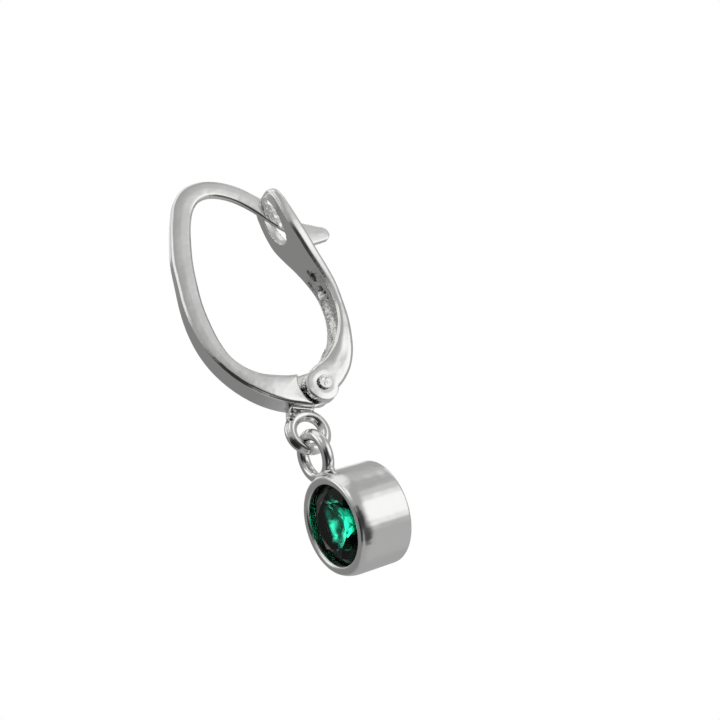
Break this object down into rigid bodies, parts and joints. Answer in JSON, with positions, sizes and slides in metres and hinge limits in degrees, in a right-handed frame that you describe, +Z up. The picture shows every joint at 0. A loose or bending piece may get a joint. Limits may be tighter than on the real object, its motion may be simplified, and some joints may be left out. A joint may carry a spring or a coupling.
{
  "type": "leverback earring",
  "caption": "Silver leverback earring with a hinged back lever and a round bezel-set green stone hanging from linked rings.",
  "frame": {"origin": "underside of the arch, where the post sits in the ear lobe's hole", "axes": "+Z up with the drop hanging below, -Y the way the stone faces, +X along the hinge rivet"},
  "size_m": [0.0061, 0.0119, 0.0262],
  "materials": {
    "silver": "polished",
    "gem_green": "polished"
  },
  "bodies": {
    "hoop": {"hoop": "silver", "hinge_rivet": "silver"},
    "lever": {"lever": "silver"},
    "drop": {"bezel": "silver", "stone": "gem_green"}
  },
  "joints": [
    {"name": "lever_hinge", "type": "hinge", "parent": "hoop", "child": "lever", "pos_m": [0, 0.00115, -0.01393], "axis": [-1, 0, 0], "range_deg": [0, 60]},
    {"name": "drop_swing", "type": "hinge", "parent": "hoop", "child": "drop", "pos_m": [0, -0.0012, -0.01652], "axis": [1, 0, 0], "range_deg": [-30, 30]}
  ]
}
